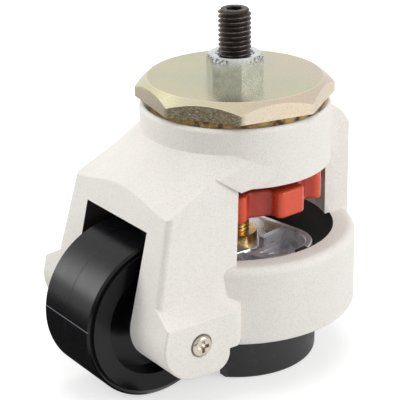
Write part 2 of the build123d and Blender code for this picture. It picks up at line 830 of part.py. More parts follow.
def axle_screw(side):
    """One pan-head screw in the axle's end; side is -1 or +1 along Y."""
    head = Cylinder(axle_head_d / 2, axle_head_h, align=(Align.CENTER, Align.CENTER, Align.MIN))
    head = fillet(head.edges().sort_by(Axis.Z)[-1], axle_head_h * 0.55)
    shank = Pos(0, 0, -axle_screw_len) * Cylinder(
        axle_screw_d / 2, axle_screw_len, align=(Align.CENTER, Align.CENTER, Align.MIN)
    )
    screw = head + shank
    screw -= Pos(0, 0, axle_head_h) * cross_slot(cross_slot_len, cross_slot_w, cross_slot_depth)
    turn = Rot(-90, 0, 0) if side > 0 else Rot(90, 0, 0)
    return Pos(-wheel_offset, side * axle_face, wheel_r) * turn * screw


def axle_spacer(side):
    """One distance ring between the wheel's hub and a leg."""
    y0, y1 = sorted((side * (hub_face + face_gap), side * opening_half_w))
    ring = along_y(axle_r + spacer_wall, y0, y1)
    return ring - along_y(axle_r + fit_gap, y0 - cut_over, y1 + cut_over)


nodes = {
    "housing": housing(),
    "swivel_plate": swivel_plate(),
    "threaded_stem": threaded_stem(),
    "stem_nut": stem_nut(),
    "king_bolt_spacer": spacer_tube(),
    "upper_race": upper_race(),
    "seat_ring": seat_ring(),
    "upper_balls": ball_row(upper_ball_circle_r, upper_ball_d, upper_ball_count, upper_ball_z),
    "lower_race": lower_race(),
    "lower_balls": ball_row(lower_ball_circle_r, lower_ball_d, lower_ball_count, lower_ball_z),
    "dust_ring": dust_ring(),
    "bearing_cover": bearing_cover(),
    "cover_screws": cover_screws(),
    "spindle": spindle(),
    "spindle_clip": spindle_clip(),
    "thrust_washer": thrust_washer(),
    "thumbwheel": thumbwheel(),
    "drive_pin": drive_pin(),
    "foot_bracket": foot_bracket(),
    "spindle_bush": spindle_bush(),
    "foot_pad": foot_pad(),
    "pad_screws": pad_screws(),
    "wheel": wheel(),
    "wheel_sleeve": wheel_sleeve(),
    "axle": axle(),
    "axle_screw_right": axle_screw(-1),
    "axle_screw_left": axle_screw(1),
    "axle_spacer_right": axle_spacer(-1),
    "axle_spacer_left": axle_spacer(1),
}

for name, shape in nodes.items():
    export_step(shape, os.path.join("parts", name + ".step"))
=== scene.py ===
import math

import bmesh
import bpy
from bpy.props import FloatProperty
from bpy.props import FloatVectorProperty
from bpy.props import IntProperty
from bpy.props import PointerProperty
from mathutils import Matrix
from mathutils import Vector


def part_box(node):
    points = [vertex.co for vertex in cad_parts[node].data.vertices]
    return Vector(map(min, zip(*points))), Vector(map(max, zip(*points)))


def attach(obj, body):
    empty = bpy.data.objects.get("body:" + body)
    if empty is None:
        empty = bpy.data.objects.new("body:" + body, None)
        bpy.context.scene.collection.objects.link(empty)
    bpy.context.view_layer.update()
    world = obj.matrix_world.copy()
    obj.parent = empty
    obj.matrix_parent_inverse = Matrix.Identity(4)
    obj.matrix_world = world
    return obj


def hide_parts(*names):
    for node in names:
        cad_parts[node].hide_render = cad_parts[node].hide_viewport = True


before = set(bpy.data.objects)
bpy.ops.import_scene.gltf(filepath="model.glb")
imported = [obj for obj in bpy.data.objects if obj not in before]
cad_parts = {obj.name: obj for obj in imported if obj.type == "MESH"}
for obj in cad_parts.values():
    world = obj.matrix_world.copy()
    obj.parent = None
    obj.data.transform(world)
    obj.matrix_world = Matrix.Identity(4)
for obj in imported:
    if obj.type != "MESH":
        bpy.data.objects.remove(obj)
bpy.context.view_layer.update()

bl_info = {
    "name": "Levelling Castor Dressing",
    "version": (1, 0, 0),
    "blender": (4, 5, 0),
    "location": "3D View > Sidebar > Castor",
    "description": "Screw threads, finishes and studio for a levelling castor",
    "category": "Object",
}

MM = 0.001
DEFAULT_BOX = {name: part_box(name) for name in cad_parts}


def low(node):
    """Lowest level of a part, in metres."""
    return DEFAULT_BOX[node][0][2]


def high(node):
    """Highest level of a part, in metres."""
    return DEFAULT_BOX[node][1][2]


def half_width(node, axis=1):
    """Half of a part's extent along one axis, in metres."""
    lowest, highest = DEFAULT_BOX[node]
    return (highest[axis] - lowest[axis]) / 2


def middle(node):
    """Centre of a part's box, in metres."""
    lowest, highest = DEFAULT_BOX[node]
    return (Vector(lowest) + Vector(highest)) / 2


# ---- settings that a user would change ----
def colour(name, description, default):
    """A colour setting, in linear red, green and blue."""
    return FloatVectorProperty(
        name=name, description=description, default=default, subtype="COLOR", size=3, min=0.0, max=1.0
    )


def length(name, description, default):
    """A length setting, in metres."""
    return FloatProperty(
        name=name, description=description, default=default, unit="LENGTH", subtype="DISTANCE", min=0.0, precision=5
    )


def share(name, description, default):
    """A setting between nothing and all."""
    return FloatProperty(name=name, description=description, default=default, subtype="FACTOR", min=0.0, max=1.0)


class CastorThreads(bpy.types.PropertyGroup):
    """Sizes of the two screw threads."""

    stem_pitch: length("Stem pitch", "Rise of the mounting stem's thread in one turn", 1.75 * MM)
    stem_radius: length("Stem radius", "Crest radius of the mounting stem", 6.0 * MM)
    stem_chamfer: length("Stem chamfer", "Chamfer on the end of the mounting stem", 0.7 * MM)
    stem_plain_top: length("Plain shank top", "Level at which the stem's thread starts", 108.0 * MM)
    socket_flats: length("Socket flats", "Width over flats of the socket in the stem's end", 5.4 * MM)
    socket_depth: length("Socket depth", "Depth of the socket in the stem's end", 4.0 * MM)
    socket_turn: FloatProperty(
        name="Socket turn",
        description="Angle of the socket's corners about the stem",
        default=math.radians(5.9),
        subtype="ANGLE",
    )
    bolt_head_radius: length("Bolt head radius", "Radius of the king bolt's head", 10.5 * MM)
    bolt_head_thickness: length("Bolt head thickness", "Thickness of the king bolt's head", 3.5 * MM)
    spindle_pitch: length("Spindle pitch", "Rise of the levelling screw's thread in one turn", 1.5 * MM)
    spindle_radius: length("Spindle radius", "Crest radius of the levelling screw", 5.0 * MM)
    journal_radius: length("Journal radius", "Radius of the levelling screw's plain top", 4.0 * MM)
    thread_steps: IntProperty(
        name="Thread steps",
        description="Sides in one turn of a thread, a multiple of six",
        default=72,
        min=24,
        max=144,
        step=6,
    )


class CastorColours(bpy.types.PropertyGroup):
    """Colours of the finishes."""

    powder: colour("Powder coat", "Ivory powder coat of the housing", (0.86, 0.835, 0.785))
    powder_speck: colour("Powder speck", "Darker grain in the powder coat", (0.60, 0.545, 0.495))
    # Painted shade: near-black colour for the hollows inside the hood, the ring and the chamber.
    painted_hollow_shade: colour("Hood inside", "Painted shade inside the hood and the ring", (0.012, 0.010, 0.010))
    zinc_olive: colour("Yellow zinc, olive", "Greener tone of the passivated zinc", (0.52, 0.51, 0.36))
    zinc_gold: colour("Yellow zinc, gold", "Warmer tone of the passivated zinc", (0.60, 0.54, 0.34))
    zinc_rose: colour("Yellow zinc, rose", "Pink tone of the passivated zinc", (0.66, 0.54, 0.44))
    # Also used for the painted dark reflection on the plate's front left flat.
    zinc_dark_and_reflection: colour("Yellow zinc, dark", "Darkest tone of the passivated zinc", (0.10, 0.085, 0.05))
    bright_zinc: colour("Bright zinc", "Blue-white zinc of the nut", (0.68, 0.70, 0.70))
    stem_steel: colour("Dark steel", "Oiled black steel of the stem", (0.055, 0.044, 0.038))
    nylon: colour("Nylon", "Black nylon of the wheel", (0.006, 0.006, 0.007))
    rubber: colour("Rubber", "Black rubber of the foot", (0.009, 0.009, 0.009))
    red: colour("Red plastic", "Thumbwheel plastic", (0.72, 0.075, 0.022))
    casting: colour("Casting", "Bright zinc alloy casting of the bracket", (0.80, 0.80, 0.83))
    brass: colour("Bush metal", "Bush in the bracket", (0.72, 0.50, 0.20))
    spindle: colour("Spindle", "Yellow zinc of the levelling screw", (0.70, 0.50, 0.20))
    nickel: colour("Nickel", "Nickel plate of the axle screws", (0.52, 0.47, 0.40))
    steel: colour("Steel", "Plain ground steel", (0.56, 0.56, 0.57))
    bronze: colour("Bronze", "Thrust washer", (0.55, 0.36, 0.17))


class CastorFinish(bpy.types.PropertyGroup):
    """Sizes and strengths of the surface texture."""

    powder_grain: length("Powder grain", "Size of the powder coat's grain", 0.65 * MM)
    powder_height: length("Powder height", "Height of the powder coat's grain", 0.06 * MM)
    cast_grain: length("Casting grain", "Size of the casting's grain", 0.5 * MM)
    plate_roughness: share("Plate roughness", "Roughness of the yellow zinc plate", 0.27)
    nylon_roughness: share("Nylon roughness", "Roughness of the wheel", 0.22)
    parting_ridge: length("Parting ridge", "Half width of the moulding line on the tread", 0.22 * MM)


class CastorStudio(bpy.types.PropertyGroup):
    """Camera, floor and lamps."""

    azimuth: FloatProperty(
        name="Azimuth", description="Turn of the camera about the castor", default=math.radians(-36.62), subtype="ANGLE"
    )
    elevation: FloatProperty(
        name="Elevation", description="Angle of the camera over the floor", default=math.radians(22.05), subtype="ANGLE"
    )
    roll: FloatProperty(
        name="Roll", description="Tilt of the camera about its axis", default=math.radians(0.45), subtype="ANGLE"
    )
    distance: length("Distance", "From the camera to the point it looks at", 565.6 * MM)
    target_height: length("Target height", "Level of the point the camera looks at", 60.0 * MM)
    lens: FloatProperty(name="Lens", description="Focal length in millimetres", default=134.62, min=1.0)
    shift_x: FloatProperty(name="Shift X", description="Sideways shift of the view", default=-0.0899)
    shift_y: FloatProperty(name="Shift Y", description="Upward shift of the view", default=-0.0004)
    floor_size: length("Floor size", "Half width of the floor", 4.0)
    fill: share("Fill", "Strength of the light from all round", 0.44)


SETTINGS = (
    ("castor_threads", CastorThreads),
    ("castor_colours", CastorColours),
    ("castor_finish", CastorFinish),
    ("castor_studio", CastorStudio),
)


def settings(name):
    """One group of settings of the scene."""
    return getattr(bpy.context.scene, name)


# ---- shader expressions ----
class Value:
    """A shader socket that takes part in ordinary arithmetic."""

    def __init__(self, recipe, socket):
        self.recipe = recipe
        self.socket = socket

    def beside(self, name):
        """Another output of the same node."""
        return Value(self.recipe, self.socket.node.outputs[name])

    def math(self, operation, *values):
        """A Math node on this value and others."""
        return self.recipe.math(operation, self, *values)

    def __add__(self, other):
        return self.recipe.math("ADD", self, other)

    def __radd__(self, other):
        return self.recipe.math("ADD", other, self)

    def __sub__(self, other):
        return self.recipe.math("SUBTRACT", self, other)

    def __rsub__(self, other):
        return self.recipe.math("SUBTRACT", other, self)

    def __mul__(self, other):
        return self.recipe.math("MULTIPLY", self, other)

    def __rmul__(self, other):
        return self.recipe.math("MULTIPLY", other, self)

    def __truediv__(self, other):
        return self.recipe.math("DIVIDE", self, other)

    def __rtruediv__(self, other):
        return self.recipe.math("DIVIDE", other, self)

    def __pow__(self, other):
        return self.recipe.math("POWER", self, other)

    def __gt__(self, other):
        return self.recipe.math("GREATER_THAN", self, other)

    def __lt__(self, other):
        return self.recipe.math("LESS_THAN", self, other)

    def __abs__(self):
        return self.recipe.math("ABSOLUTE", self)

    def ease(self, start, end, low_value=0.0, high_value=1.0):
        """Goes smoothly from one value to another while this one goes from start to end."""
        return self.recipe.node(
            "ShaderNodeMapRange",
            {"interpolation_type": "SMOOTHSTEP"},
            {0: self, 1: start, 2: end, 3: low_value, 4: high_value},
        )


class Finish:
    """A material that is put together from node calls."""

    def __init__(self, name):
        self.material = bpy.data.materials.new(name)
        self.material.use_nodes = True
        self.tree = self.material.node_tree
        self.tree.nodes.clear()
        self.place = self.node("ShaderNodeTexCoord", {}, {}, "Object")

    def node(self, kind, setup, inputs, output=0):
        """Any node: its type, its settings, the values or links of its sockets, and the output wanted."""
        made = self.tree.nodes.new(kind)
        for name, value in setup.items():
            if name == "stops":
                self.set_stops(made.color_ramp, value)
            else:
                setattr(made, name, value)
        for name, value in inputs.items():
            socket = made.inputs[name]
            if isinstance(value, Value):
                self.tree.links.new(value.socket, socket)
            else:
                socket.default_value = value
        if not made.outputs:
            return None
        return Value(self, made.outputs[output])

    def set_stops(self, ramp, stops):
        """Gives a colour ramp its stops."""
        while len(ramp.elements) < len(stops):
            ramp.elements.new(0.5)
        for element, (position, value) in zip(ramp.elements, stops):
            element.position = position
            element.color = (*value, 1.0)

    def math(self, operation, *values):
        """A Math node."""
        return self.node("ShaderNodeMath", {"operation": operation}, dict(enumerate(values)))

    def vector(self, operation, *values, output=0):
        """A Vector Math node."""
        return self.node("ShaderNodeVectorMath", {"operation": operation}, dict(enumerate(values)), output)

    def mix(self, factor, first, second, blend="MIX"):
        """A Mix node on two colours."""
        return self.node(
            "ShaderNodeMix",
            {"data_type": "RGBA", "blend_type": blend},
            {0: factor, 6: paint(first), 7: paint(second)},
            2,
        )

    def noise(self, size, detail=2.0, roughness=0.5, place=None, distortion=0.0):
        """Soft random variation whose features have a size in metres."""
        return self.node(
            "ShaderNodeTexNoise",
            {},
            {
                "Vector": place or self.place,
                "Scale": 1.0 / size,
                "Detail": detail,
                "Roughness": roughness,
                "Distortion": distortion,
            },
        )

    def cells(self, size, output="Distance"):
        """Random cells whose size is in metres."""
        return self.node("ShaderNodeTexVoronoi", {}, {"Vector": self.place, "Scale": 1.0 / size}, output)

    def stretched(self, factors):
        """The place, stretched along its axes."""
        return self.vector("MULTIPLY", self.place, Vector(factors))

    def axes(self):
        """The three coordinates of the place."""
        x = self.node("ShaderNodeSeparateXYZ", {}, {0: self.place}, "X")
        return x, x.beside("Y"), x.beside("Z")

    def radius(self, x, y):
        """Distance from an axis, from two coordinates."""
        return (x * x + y * y) ** 0.5

    def bump(self, relief, height, strength=1.0, normal=None):
        """A Bump node: relief from 0 to 1 and what that is in metres."""
        inputs = {"Height": relief, "Distance": height, "Strength": strength}
        if normal is not None:
            inputs["Normal"] = normal
        return self.node("ShaderNodeBump", {}, inputs)

    def surface(self, **sockets):
        """The shader and its output; sockets are named with underscores for spaces."""
        names = {key.replace("_", " "): value for key, value in sockets.items()}
        inputs = {}
        for name, value in names.items():
            if name in ("Base Color", "Coat Tint", "Sheen Tint", "Specular Tint"):
                value = paint(value)
            inputs[name] = value
        shader = self.node("ShaderNodeBsdfPrincipled", {}, inputs)
        self.node("ShaderNodeOutputMaterial", {}, {"Surface": shader})
        return self.material


def paint(value):
    """A colour as a socket wants it."""
    if isinstance(value, Value):
        return value
    return (*tuple(value)[:3], 1.0)


# ---- finishes ----
def powder_coat():
    """Ivory powder coat with a fine, slightly darker grain; near-black painted shade inside the hood, the ring and the
    chamber.
    """
    tones = settings("castor_colours")
    sizes = settings("castor_finish")
    finish = Finish("Ivory powder coat")
    x, y, z = finish.axes()
    away = finish.radius(x, y)
    grain = finish.noise(sizes.powder_grain, 3.0, 0.6)
    fine = finish.noise(sizes.powder_grain * 0.5, 2.0, 0.6)
    drift = finish.noise(14 * MM, 2.0)
    speck = (grain * 0.5 + fine * 0.5).ease(0.54, 0.38)
    base = finish.mix(speck * 0.38, tones.powder, tones.powder_speck)
    base = finish.mix(drift.ease(0.35, 0.7) * 0.08, base, tones.powder_speck)
    # Painted shade: the hollows inside the hood, the ring and the chamber are painted near-black, with a little grain.
    hood = (y.math("ABSOLUTE") < 19.55 * MM) * (z < 67.15 * MM) * (x < -19.9 * MM)
    ring = (away < 36.85 * MM) * (z < 51.3 * MM)
    chamber = (away < 34.05 * MM) * (z < 94.0 * MM)
    inside = hood.math("MAXIMUM", ring).math("MAXIMUM", chamber)
    base = finish.mix(inside, base, finish.mix(grain, tones.painted_hollow_shade, (0.035, 0.027, 0.024)))
    relief = finish.bump(grain * 0.6 + fine * 0.4, sizes.powder_height)
    return finish.surface(
        Base_Color=base,
        Roughness=fine.ease(0.3, 0.7, 0.48, 0.64),
        Normal=relief,
        Specular_IOR_Level=0.42,
    )


def plate_zinc():
    """Yellow passivated zinc on the turned plate: satin top, rosy crown with a painted highlight along its edge, and
    blotched flats with a painted dark reflection on the front left flat.
    """
    tones = settings("castor_colours")
    sizes = settings("castor_finish")
    finish = Finish("Yellow zinc plate")
    x, y, z = finish.axes()
    away = finish.radius(x, y)
    crown_start = 32.4 * MM
    cone = high("swivel_plate") - 0.834 * (away - crown_start)
    crown = away.ease(crown_start - 0.05 * MM, crown_start + 0.05 * MM) * (
        z - cone
    ).math("ABSOLUTE").ease(0.3 * MM, 0.1 * MM)
    flats = away.ease(33.4 * MM, 33.6 * MM) * (z - cone).ease(-0.15 * MM, -0.35 * MM)
    cloud = finish.noise(26 * MM, 2.0, 0.5)
    tint = finish.noise(40 * MM, 1.0, 0.5)
    mottle = finish.noise(1.1 * MM, 4.0, 0.75, finish.stretched((1.0, 1.0, 1.9)))
    fine = finish.noise(0.5 * MM, 3.0, 0.6)
    base = finish.mix(cloud.ease(0.40, 0.60) * 0.6, tones.zinc_olive, tones.zinc_gold)
    base = finish.mix(tint.ease(0.47, 0.62) * 0.45, base, tones.zinc_rose)
    across = (x * 0.80 - y * 0.60) / away
    crown_tone = finish.mix(across.ease(-0.6, 0.6), (0.66, 0.62, 0.42), tones.zinc_rose)
    base = finish.mix(crown * 0.85, base, crown_tone)
    # Painted highlight: a thin pale line along the edge between the top and the crown.
    lip = away.ease(crown_start - 0.35 * MM, crown_start) * away.ease(crown_start + 0.3 * MM, crown_start)
    base = finish.mix(lip * 0.35, base, (0.90, 0.86, 0.72))
    # Painted reflection: the flat facing front left is painted darker, standing in for the dark surroundings it
    # reflects, over its real mottled grain.
    facing_front_left = (x * -0.827 - y * 0.562) / away
    painted_reflection_flat = flats * facing_front_left.ease(0.90, 0.94)
    base = finish.mix(flats * 0.6, base, tones.zinc_rose)
    base = finish.mix(flats * mottle.ease(0.52, 0.42) * 0.12, base, tones.zinc_dark_and_reflection)
    base = finish.mix(painted_reflection_flat * mottle.ease(0.72, 0.40, 0.55, 0.97), base, tones.zinc_dark_and_reflection)
    base = finish.mix(fine.ease(0.46, 0.62) * 0.10, base, tones.zinc_dark_and_reflection)
    turning = finish.noise(0.35 * MM, 2.0, 0.7, finish.node("ShaderNodeCombineXYZ", {}, {"X": away}))
    relief = finish.bump(turning * 0.5 + fine * 0.3 + mottle * flats, 0.02 * MM, 0.6)
    rough = sizes.plate_roughness + flats * 0.12 + (fine - 0.5) * 0.14
    return finish.surface(Base_Color=base, Metallic=1.0, Roughness=rough, Normal=relief)


def ring_zinc():
    """Brown zinc on the dust ring, with painted shade in near-black clouds where it sits under the plate."""
    tones = settings("castor_colours")
    finish = Finish("Dust ring zinc")
    cloud = finish.noise(5 * MM, 3.0, 0.6)
    fine = finish.noise(0.5 * MM, 3.0, 0.6)
    # Painted shade: brown zinc darkened in near-black clouds, standing in for the shade under the plate.
    base = finish.mix(cloud.ease(0.4, 0.65), (0.30, 0.19, 0.07), (0.05, 0.03, 0.015))
    return finish.surface(
        Base_Color=base,
        Metallic=1.0,
        Roughness=fine.ease(0.3, 0.7, 0.34, 0.5),
        Normal=finish.bump(fine, 0.02 * MM, 0.6),
    )


def plain_metal(name, tint, dark, roughness, grain, height, dark_share=0.35, cloud_size=6 * MM):
    """A bare or plated metal with soft clouding and fine grain."""
    finish = Finish(name)
    cloud = finish.noise(cloud_size, 3.0, 0.6)
    fine = finish.noise(grain, 3.0, 0.6)
    base = finish.mix(cloud.ease(0.45, 0.7) * dark_share, tint, dark)
    rough = roughness + (fine - 0.5) * 0.14 + (cloud - 0.5) * 0.10
    return finish.surface(
        Base_Color=base, Metallic=1.0, Roughness=rough, Normal=finish.bump(fine, height, 0.6)
    )


def nut_zinc():
    """Bright zinc on the nut, with painted shade in mottled patches along its upper arcs, weaker on the face towards
    the front.
    """
    tones = settings("castor_colours")
    finish = Finish("Bright nut zinc")
    x, y, z = finish.axes()
    top = high("stem_nut")
    cloud = finish.noise(4 * MM, 3.0, 0.6)
    mottle = finish.noise(0.9 * MM, 3.0, 0.7)
    fine = finish.noise(0.35 * MM, 3.0, 0.6)
    # Painted shade: mottled dark patches along the upper arcs of the faces, a quarter as strong on the face towards the
    # front.
    under_arc = z.ease(top - 3.6 * MM, top - 1.2 * MM) * z.ease(top - 0.15 * MM, top - 0.5 * MM)
    shaded = (x * 0.45 + y * 0.89).ease(-8.3 * MM, -8.8 * MM, 1.0, 0.25)
    base = finish.mix(cloud.ease(0.42, 0.7) * 0.4, tones.bright_zinc, (0.34, 0.35, 0.34))
    base = finish.mix(under_arc * mottle.ease(0.42, 0.56) * shaded * 0.9, base, (0.07, 0.07, 0.065))
    rough = 0.2 + (fine - 0.5) * 0.14 + (cloud - 0.5) * 0.10
    return finish.surface(Base_Color=base, Metallic=1.0, Roughness=rough, Normal=finish.bump(fine, 0.02 * MM, 0.6))


def stem_black():
    """Oiled black steel with a painted highlight in paler patches on the thread crests."""
    tones = settings("castor_colours")
    threads = settings("castor_threads")
    finish = Finish("Dark stem steel")
    x, y, z = finish.axes()
    away = finish.radius(x, y)
    patch_noise = finish.noise(2.2 * MM, 3.0, 0.65)
    # Painted highlight: the thread crests are painted paler in patches.
    crest = away.ease(threads.stem_radius - 0.22 * MM, threads.stem_radius)
    base = finish.mix(crest * patch_noise.ease(0.4, 0.65) * 0.5, tones.stem_steel, (0.26, 0.235, 0.21))
    fine = finish.noise(0.3 * MM, 2.0, 0.6)
    return finish.surface(
        Base_Color=base,
        Metallic=0.85,
        Roughness=patch_noise.ease(0.3, 0.7, 0.30, 0.48),
        Normal=finish.bump(fine, 0.015 * MM, 0.6),
    )


def wheel_nylon():
    """Black satin nylon with the moulding line round its tread."""
    tones = settings("castor_colours")
    sizes = settings("castor_finish")
    finish = Finish("Black wheel nylon")
    x, y, z = finish.axes()
    centre = middle("wheel")
    rolling = half_width("wheel", 2)
    from_x = x - centre.x
    from_z = z - centre.z
    away = finish.radius(from_x, from_z)
    tread = away.ease(rolling - 0.5 * MM, rolling - 0.2 * MM)
    ridge = (y.math("ABSOLUTE")).ease(sizes.parting_ridge, sizes.parting_ridge * 0.4) * tread
    fine = finish.noise(0.35 * MM, 3.0, 0.65)
    cloud = finish.noise(7 * MM, 3.0, 0.6)
    scuff = finish.noise(1.2 * MM, 3.0, 0.7, finish.stretched((0.4, 1.6, 0.4)))
    base = finish.mix(tread * scuff.ease(0.5, 0.75) * 0.5, tones.nylon, (0.022, 0.022, 0.026))
    rough = sizes.nylon_roughness + tread * 0.07 + (cloud - 0.5) * 0.12 + (fine - 0.5) * 0.06
    weld = (from_z - 3.2 * MM).math("ABSOLUTE").ease(0.22 * MM, 0.08 * MM) * (from_x < 0.0) * tread
    base = finish.mix(weld * 0.8, base, (0.30, 0.30, 0.32))
    first = finish.bump(fine, 0.008 * MM, 0.6)
    relief = finish.bump(ridge, 0.06 * MM, 1.0, first)
    return finish.surface(Base_Color=base, Roughness=rough, Normal=relief, Specular_IOR_Level=0.25)


def thumb_plastic():
    """Glossy orange-red moulded plastic, with painted shade in the valleys towards the hub."""
    tones = settings("castor_colours")
    finish = Finish("Red thumbwheel plastic")
    cloud = finish.noise(5 * MM, 3.0, 0.55)
    fine = finish.noise(0.5 * MM, 2.0, 0.6)
    x, y, z = finish.axes()
    # Painted shade: the valleys between the lugs, towards the hub, are painted a deep red.
    painted_valley_shade = finish.radius(x, y).ease(30.2 * MM, 27.6 * MM)
    base = finish.mix(cloud.ease(0.4, 0.75) * 0.25, tones.red, tuple(c * 0.72 for c in tones.red))
    valley_shade_red = (tones.red[0] * 0.40, tones.red[1] * 0.10, tones.red[2] * 0.08)
    base = finish.mix(painted_valley_shade * 0.75, base, valley_shade_red)
    return finish.surface(
        Base_Color=base,
        Roughness=cloud.ease(0.3, 0.7, 0.24, 0.34),
        Normal=finish.bump(cloud * 0.6 + fine * 0.4, 0.03 * MM, 0.5),
        Subsurface_Weight=0.08,
        Subsurface_Scale=0.002,
        Subsurface_Radius=Vector((1.0, 0.25, 0.1)),
    )


def foot_rubber():
    """Matt black rubber with faint upright moulding marks."""
    tones = settings("castor_colours")
    finish = Finish("Black foot rubber")
    fine = finish.noise(0.4 * MM, 3.0, 0.65)
    upright = finish.noise(1.4 * MM, 2.0, 0.6, finish.stretched((1.0, 1.0, 0.06)))
    dust = finish.noise(6 * MM, 3.0, 0.6)
    base = finish.mix(dust.ease(0.45, 0.75) * 0.35, tones.rubber, (0.05, 0.05, 0.05))
    return finish.surface(
        Base_Color=base,
        Roughness=dust.ease(0.3, 0.7, 0.44, 0.58),
        Normal=finish.bump(upright * 0.7 + fine * 0.3, 0.05 * MM, 0.7),
    )


def bracket_casting():
    """Bright zinc alloy casting with a pebbly skin."""
    tones = settings("castor_colours")
    sizes = settings("castor_finish")
    finish = Finish("Bracket casting")
    grain = finish.noise(sizes.cast_grain, 3.0, 0.6)
    pebble = finish.noise(1.6 * MM, 3.0, 0.6)
    stain = finish.noise(5 * MM, 3.0, 0.6)
    base = finish.mix(stain.ease(0.48, 0.7) * 0.45, tones.casting, (0.22, 0.22, 0.23))
    return finish.surface(
        Base_Color=base,
        Metallic=0.72,
        Roughness=grain.ease(0.3, 0.7, 0.26, 0.42),
        Normal=finish.bump(grain * 0.4 + pebble * 0.6, 0.09 * MM, 0.8),
    )


def dress(names, material):
    """Gives CAD parts a finish."""
    for name in names:
        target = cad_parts[name]
        target.data.materials.clear()
        target.data.materials.append(material)
        for polygon in target.data.polygons:
            polygon.material_index = 0


# ---- screw threads ----
class ThreadMesh:
    """A round bar built ring by ring, with screw threads where they are wanted."""

    def __init__(self, steps):
        self.mesh = bmesh.new()
        self.steps = steps

    def ring(self, level, reach):
        """A ring of corners at a level; reach is a radius or a function of the angle."""
        corners = []
        for k in range(self.steps):
            angle = 2 * math.pi * k / self.steps
            r = reach(angle) if callable(reach) else reach
            corners.append(self.mesh.verts.new((r * math.cos(angle), r * math.sin(angle), level)))
        return corners

    def join(self, lower, upper):
        """Faces between two rings."""
        for k in range(self.steps):
            n = (k + 1) % self.steps
            self.mesh.faces.new((lower[k], lower[n], upper[n], upper[k]))

    def close(self, ring, level, upward):
        """A shallow cone that closes a ring."""
        tip = self.mesh.verts.new((0.0, 0.0, level))
        for k in range(self.steps):
            n = (k + 1) % self.steps
            face = (ring[k], ring[n], tip) if upward else (ring[n], ring[k], tip)
            self.mesh.faces.new(face)

    def thread(self, crest, pitch, start, end, end_radius_low, end_radius_high):
        """A helical thread from start to end, with its ends running out into chamfers."""
        depth = 0.613 * pitch
        outline = ((0.0, 0.0), (0.06, 0.0), (0.125, 0.05), (0.44, 0.92), (0.5, 1.0), (0.56, 1.0), (0.62, 0.92), (0.94, 0.05))
        turns = int(math.ceil((end - start) / pitch)) + 2
        total = turns * self.steps
        strip = []
        for i in range(total + 1):
            angle = 2 * math.pi * (i % self.steps) / self.steps
            base = start - pitch + pitch * i / self.steps
            row = []
            for along, fall in outline:
                level = min(max(base + along * pitch, start), end)
                limit = min(end_radius_low + (level - start), end_radius_high + (end - level))
                r = min(crest - depth * fall, limit)
                row.append(self.mesh.verts.new((r * math.cos(angle), r * math.sin(angle), level)))
            strip.append(row)
        count = len(outline)
        for i in range(total):
            for j in range(count):
                if j + 1 < count:
                    a, b = strip[i][j + 1], strip[i + 1][j + 1]
                else:
                    if i + 1 + self.steps > total:
                        continue
                    a, b = strip[i + self.steps][0], strip[i + 1 + self.steps][0]
                self.mesh.faces.new((strip[i][j], strip[i + 1][j], b, a))

    def finished(self, name, material):
        """The mesh as an object with a finish."""
        bmesh.ops.remove_doubles(self.mesh, verts=self.mesh.verts[:], dist=2e-6)
        bmesh.ops.dissolve_degenerate(self.mesh, dist=1e-7, edges=self.mesh.edges[:])
        bmesh.ops.recalc_face_normals(self.mesh, faces=self.mesh.faces[:])
        for face in self.mesh.faces:
            face.smooth = True
        for edge in self.mesh.edges:
            if len(edge.link_faces) == 2 and edge.calc_face_angle(0.0) > math.radians(28):
                edge.smooth = False
        data = bpy.data.meshes.new(name)
        self.mesh.to_mesh(data)
        self.mesh.free()
        data.materials.append(material)
        made = bpy.data.objects.new(name, data)
        bpy.context.scene.collection.objects.link(made)
        return made


def hexagon(flats, turn):
    """Reach of a hexagon by angle, from its width over flats."""

    def reach(angle):
        part = (angle - turn) % (math.pi / 3) - math.pi / 6
        return flats / 2 / math.cos(part)

    return reach


# ---- operators ----
class CASTOR_OT_stem(bpy.types.Operator):
    """Cut the mounting stem's thread and socket on the king bolt"""

    bl_idname = "castor.stem"
    bl_label = "Threaded stem"

    def execute(self, context):
        sizes = settings("castor_threads")
        bar = ThreadMesh(sizes.thread_steps)
        r = sizes.stem_radius
        top = high("threaded_stem")
        foot = low("threaded_stem")
        head_top = foot + sizes.bolt_head_thickness
        edge = 0.4 * MM
        rings = [
            bar.ring(foot, sizes.bolt_head_radius - edge),
            bar.ring(foot + edge, sizes.bolt_head_radius),
            bar.ring(head_top - edge, sizes.bolt_head_radius),
            bar.ring(head_top, sizes.bolt_head_radius - edge),
            bar.ring(head_top, r),
            bar.ring(sizes.stem_plain_top - 0.9 * MM, r),
            bar.ring(sizes.stem_plain_top, r - 1.1 * MM),
        ]
        for lower, upper in zip(rings, rings[1:]):
            bar.join(lower, upper)
        bar.close(rings[0], foot, False)
        end = r - 1.1 * MM
        bar.thread(r, sizes.stem_pitch, sizes.stem_plain_top, top, r - 1.1 * MM, end)
        rim = bar.ring(top, end)
        hole = hexagon(sizes.socket_flats, sizes.socket_turn)
        lip = bar.ring(top, lambda a: hole(a) + 0.25 * MM)
        mouth = bar.ring(top - 0.25 * MM, hole)
        floor = bar.ring(top - sizes.socket_depth, hole)
        bar.join(rim, lip)
        bar.join(lip, mouth)
        bar.join(mouth, floor)
        bar.close(floor, top - sizes.socket_depth - 0.8 * MM, True)
        stem = bar.finished("Stem_thread", stem_black())
        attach(stem, "head")
        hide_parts("threaded_stem")
        return {"FINISHED"}


